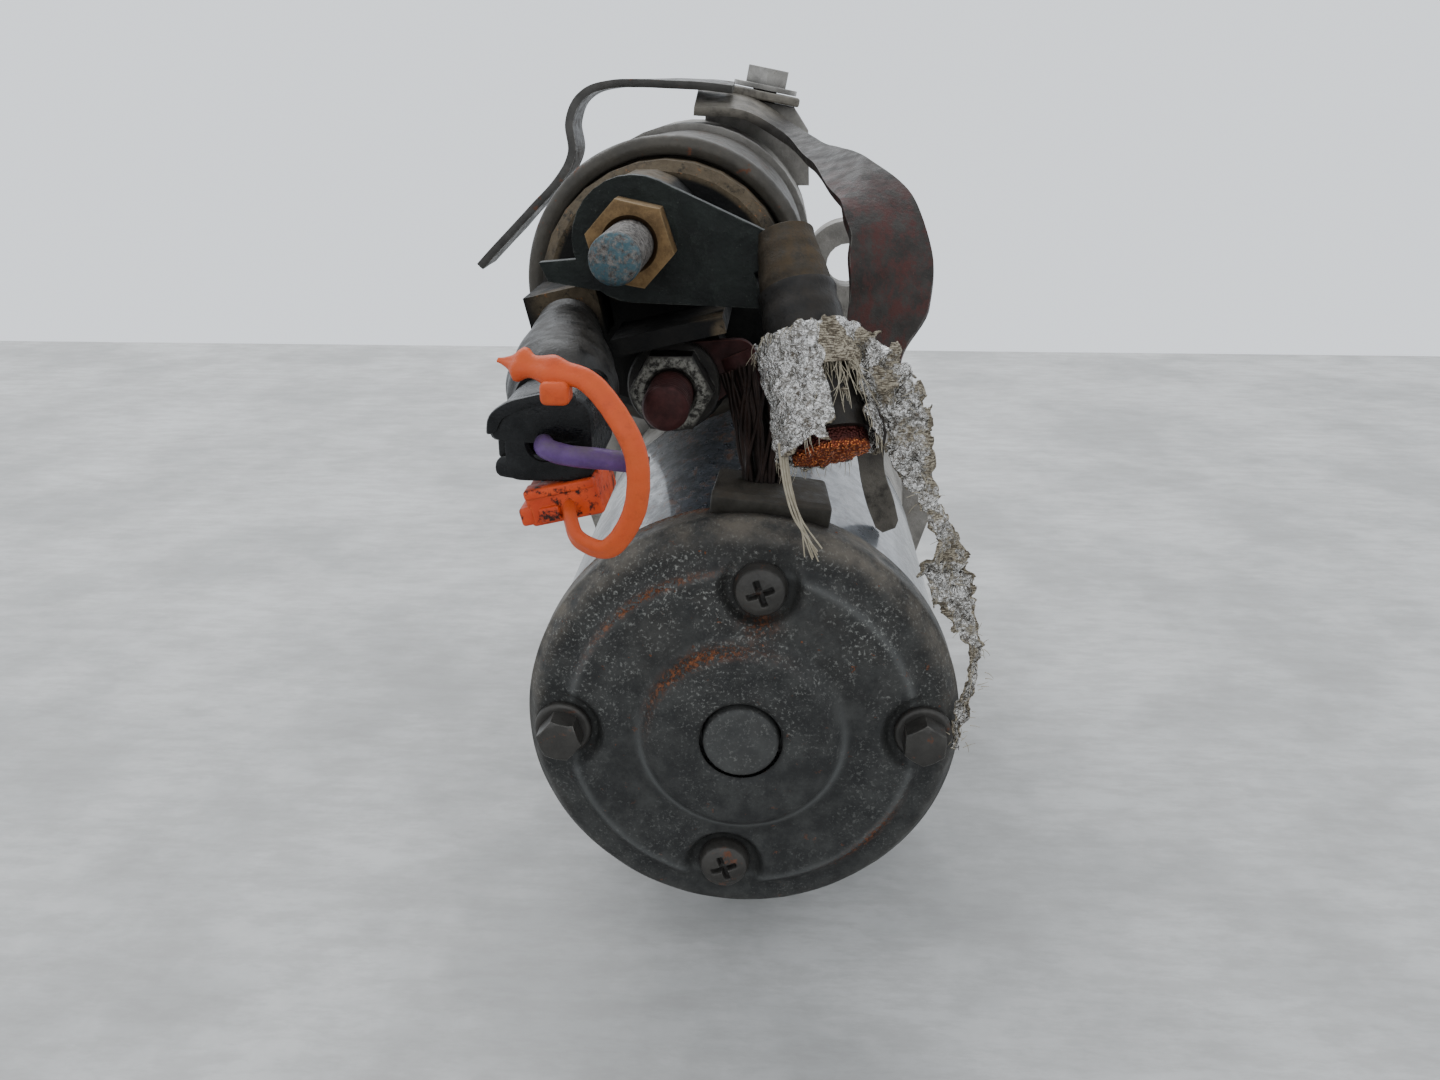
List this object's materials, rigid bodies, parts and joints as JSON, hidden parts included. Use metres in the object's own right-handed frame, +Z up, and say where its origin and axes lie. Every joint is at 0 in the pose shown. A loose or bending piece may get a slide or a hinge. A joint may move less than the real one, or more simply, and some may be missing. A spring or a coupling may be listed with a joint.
{
  "type": "starter motor",
  "caption": "Car starter motor with planetary reduction, with its solenoid on top, a mounting flange, a nose with a pinion, and cut leads and loom brackets at the rear.",
  "frame": {"origin": "on the mounting flange's front face, on the vertical line through the shaft axis and 43.5 mm below that axis", "axes": "+Y along the shaft towards the pinion, +Z up from the shaft to the solenoid, +X to the right seen from the rear cover"},
  "size_m": [0.1145, 0.2323, 0.1639],
  "materials": {
    "cover_paint": "worn dark grey paint, pale zinc speckle and rust on the edges",
    "yoke_paint": "blue-grey paint, glossy in places",
    "dark_steel": "dark steel, dirty, rust spots",
    "bright_steel": "zinc-plated steel, dull",
    "gear_steel": "hardened steel, greased",
    "cast_aluminium": "sand-textured casting, dusty",
    "brass": "dull brass plate with dirt",
    "bronze": "oiled bronze",
    "copper": "dark copper, maroon tarnish",
    "winding": "lacquered winding over steel",
    "lug_patina": "dark green-grey patina on tinned copper",
    "carbon": "matt brush carbon",
    "magnet": "matt ferrite",
    "black_plastic": "aged black moulding, dusty",
    "tan_sleeve": "shrunk sleeve, tan with dust",
    "cable_rubber": "cable jacket, dusty",
    "boot_rubber": "rubber boot, dusty",
    "grommet_rubber": "rubber grommet, dusty brown-grey",
    "orange_plastic": "faded orange-red moulding",
    "purple_plastic": "purple wire insulation, dusty",
    "heat_foil": "crumpled metallised woven sleeve, torn, dirty"
  },
  "bodies": {
    "motor_case": {"drive_housing": "cast_aluminium", "rear_cover": "cover_paint", "cover_disc": "cover_paint", "cover_screw_top": "dark_steel", "cover_screw_bottom": "dark_steel", "through_bolt_left": "dark_steel", "through_bolt_right": "dark_steel", "rear_bearing": "gear_steel", "brush_plate": "bright_steel", "brush_1": "carbon", "brush_2": "carbon", "brush_3": "carbon", "brush_4": "carbon", "lead_grommet": "grommet_rubber", "yoke": "yoke_paint", "magnet_1": "magnet", "magnet_2": "magnet", "magnet_3": "magnet", "magnet_4": "magnet", "centre_plate": "bright_steel", "ring_gear": "gear_steel", "nose_bush": "bronze", "pivot_pin": "bright_steel", "solenoid_case": "dark_steel", "solenoid_cap": "black_plastic", "solenoid_coil": "winding", "fixed_core": "gear_steel", "solenoid_screw_left": "bright_steel", "solenoid_screw_right": "bright_steel", "battery_stud": "bright_steel", "motor_stud": "copper", "battery_nut": "brass", "motor_nut": "bright_steel", "signal_blade": "brass", "return_spring": "bright_steel", "battery_lug": "lug_patina", "lug_sleeve": "tan_sleeve", "battery_cable": "cable_rubber", "heat_sleeve": "heat_foil", "brush_lead": "copper", "signal_boot": "boot_rubber", "signal_connector": "black_plastic", "connector_lock": "orange_plastic", "signal_wire": "purple_plastic", "bracket_right": "dark_steel", "bracket_left": "dark_steel", "bracket_bolt": "bright_steel"},
    "armature": {"armature_shaft": "gear_steel", "armature_core": "winding", "commutator": "copper"},
    "carrier": {"output_shaft": "gear_steel", "stop_collar": "gear_steel"},
    "planet_1": {"planet_gear_1": "gear_steel"},
    "planet_2": {"planet_gear_2": "gear_steel"},
    "planet_3": {"planet_gear_3": "gear_steel"},
    "clutch": {"clutch": "gear_steel"},
    "pinion": {"pinion": "gear_steel"},
    "plunger": {"plunger": "gear_steel"},
    "lever": {"shift_lever": "dark_steel"},
    "contact": {"contact_plate": "copper"}
  },
  "joints": [
    {"name": "armature_spin", "type": "hinge", "parent": "motor_case", "child": "armature", "pos_m": [0, -0.099, 0.0435], "axis": [0, 1, 0], "continuous": true},
    {"name": "carrier_spin", "type": "hinge", "parent": "motor_case", "child": "carrier", "pos_m": [0, -0.048, 0.0435], "axis": [0, 1, 0], "continuous": true},
    {"name": "planet_1_spin", "type": "hinge", "parent": "carrier", "child": "planet_1", "pos_m": [0, -0.058, 0.05835], "axis": [0, 1, 0], "continuous": true},
    {"name": "planet_2_spin", "type": "hinge", "parent": "carrier", "child": "planet_2", "pos_m": [-0.01286, -0.058, 0.03608], "axis": [0, 1, 0], "continuous": true},
    {"name": "planet_3_spin", "type": "hinge", "parent": "carrier", "child": "planet_3", "pos_m": [0.01286, -0.058, 0.03608], "axis": [0, 1, 0], "continuous": true},
    {"name": "plunger_slide", "type": "slide", "parent": "motor_case", "child": "plunger", "axis": [0, -1, 0], "range_m": [0, 0.009], "stiffness_N_per_m": 1500, "springref_m": -0.01, "deforming": ["return_spring"]},
    {"name": "lever_pivot", "type": "hinge", "parent": "motor_case", "child": "lever", "pos_m": [-0.00898, -0.027, 0.08248], "axis": [0.9745, 0, 0.2244], "range_deg": [0, 15.8]},
    {"name": "clutch_slide", "type": "slide", "parent": "carrier", "child": "clutch", "axis": [0, 1, 0], "range_m": [0, 0.011]},
    {"name": "pinion_overrun", "type": "hinge", "parent": "clutch", "child": "pinion", "pos_m": [0, 0.011, 0.0435], "axis": [0, 1, 0], "continuous": true},
    {"name": "contact_slide", "type": "slide", "parent": "motor_case", "child": "contact", "axis": [0, -1, 0], "range_m": [0, 0.0027]}
  ],
  "couplings": [
    {"joint": "carrier_spin", "follows": "armature_spin", "ratio": 0.2037},
    {"joint": "planet_1_spin", "follows": "armature_spin", "ratio": -0.54745},
    {"joint": "planet_2_spin", "follows": "armature_spin", "ratio": -0.54745},
    {"joint": "planet_3_spin", "follows": "armature_spin", "ratio": -0.54745},
    {"joint": "lever_pivot", "follows": "plunger_slide", "rad_per_m": 30.64},
    {"joint": "clutch_slide", "follows": "plunger_slide", "ratio": 1.2222},
    {"joint": "contact_slide", "follows": "plunger_slide", "ratio": 0.3}
  ]
}
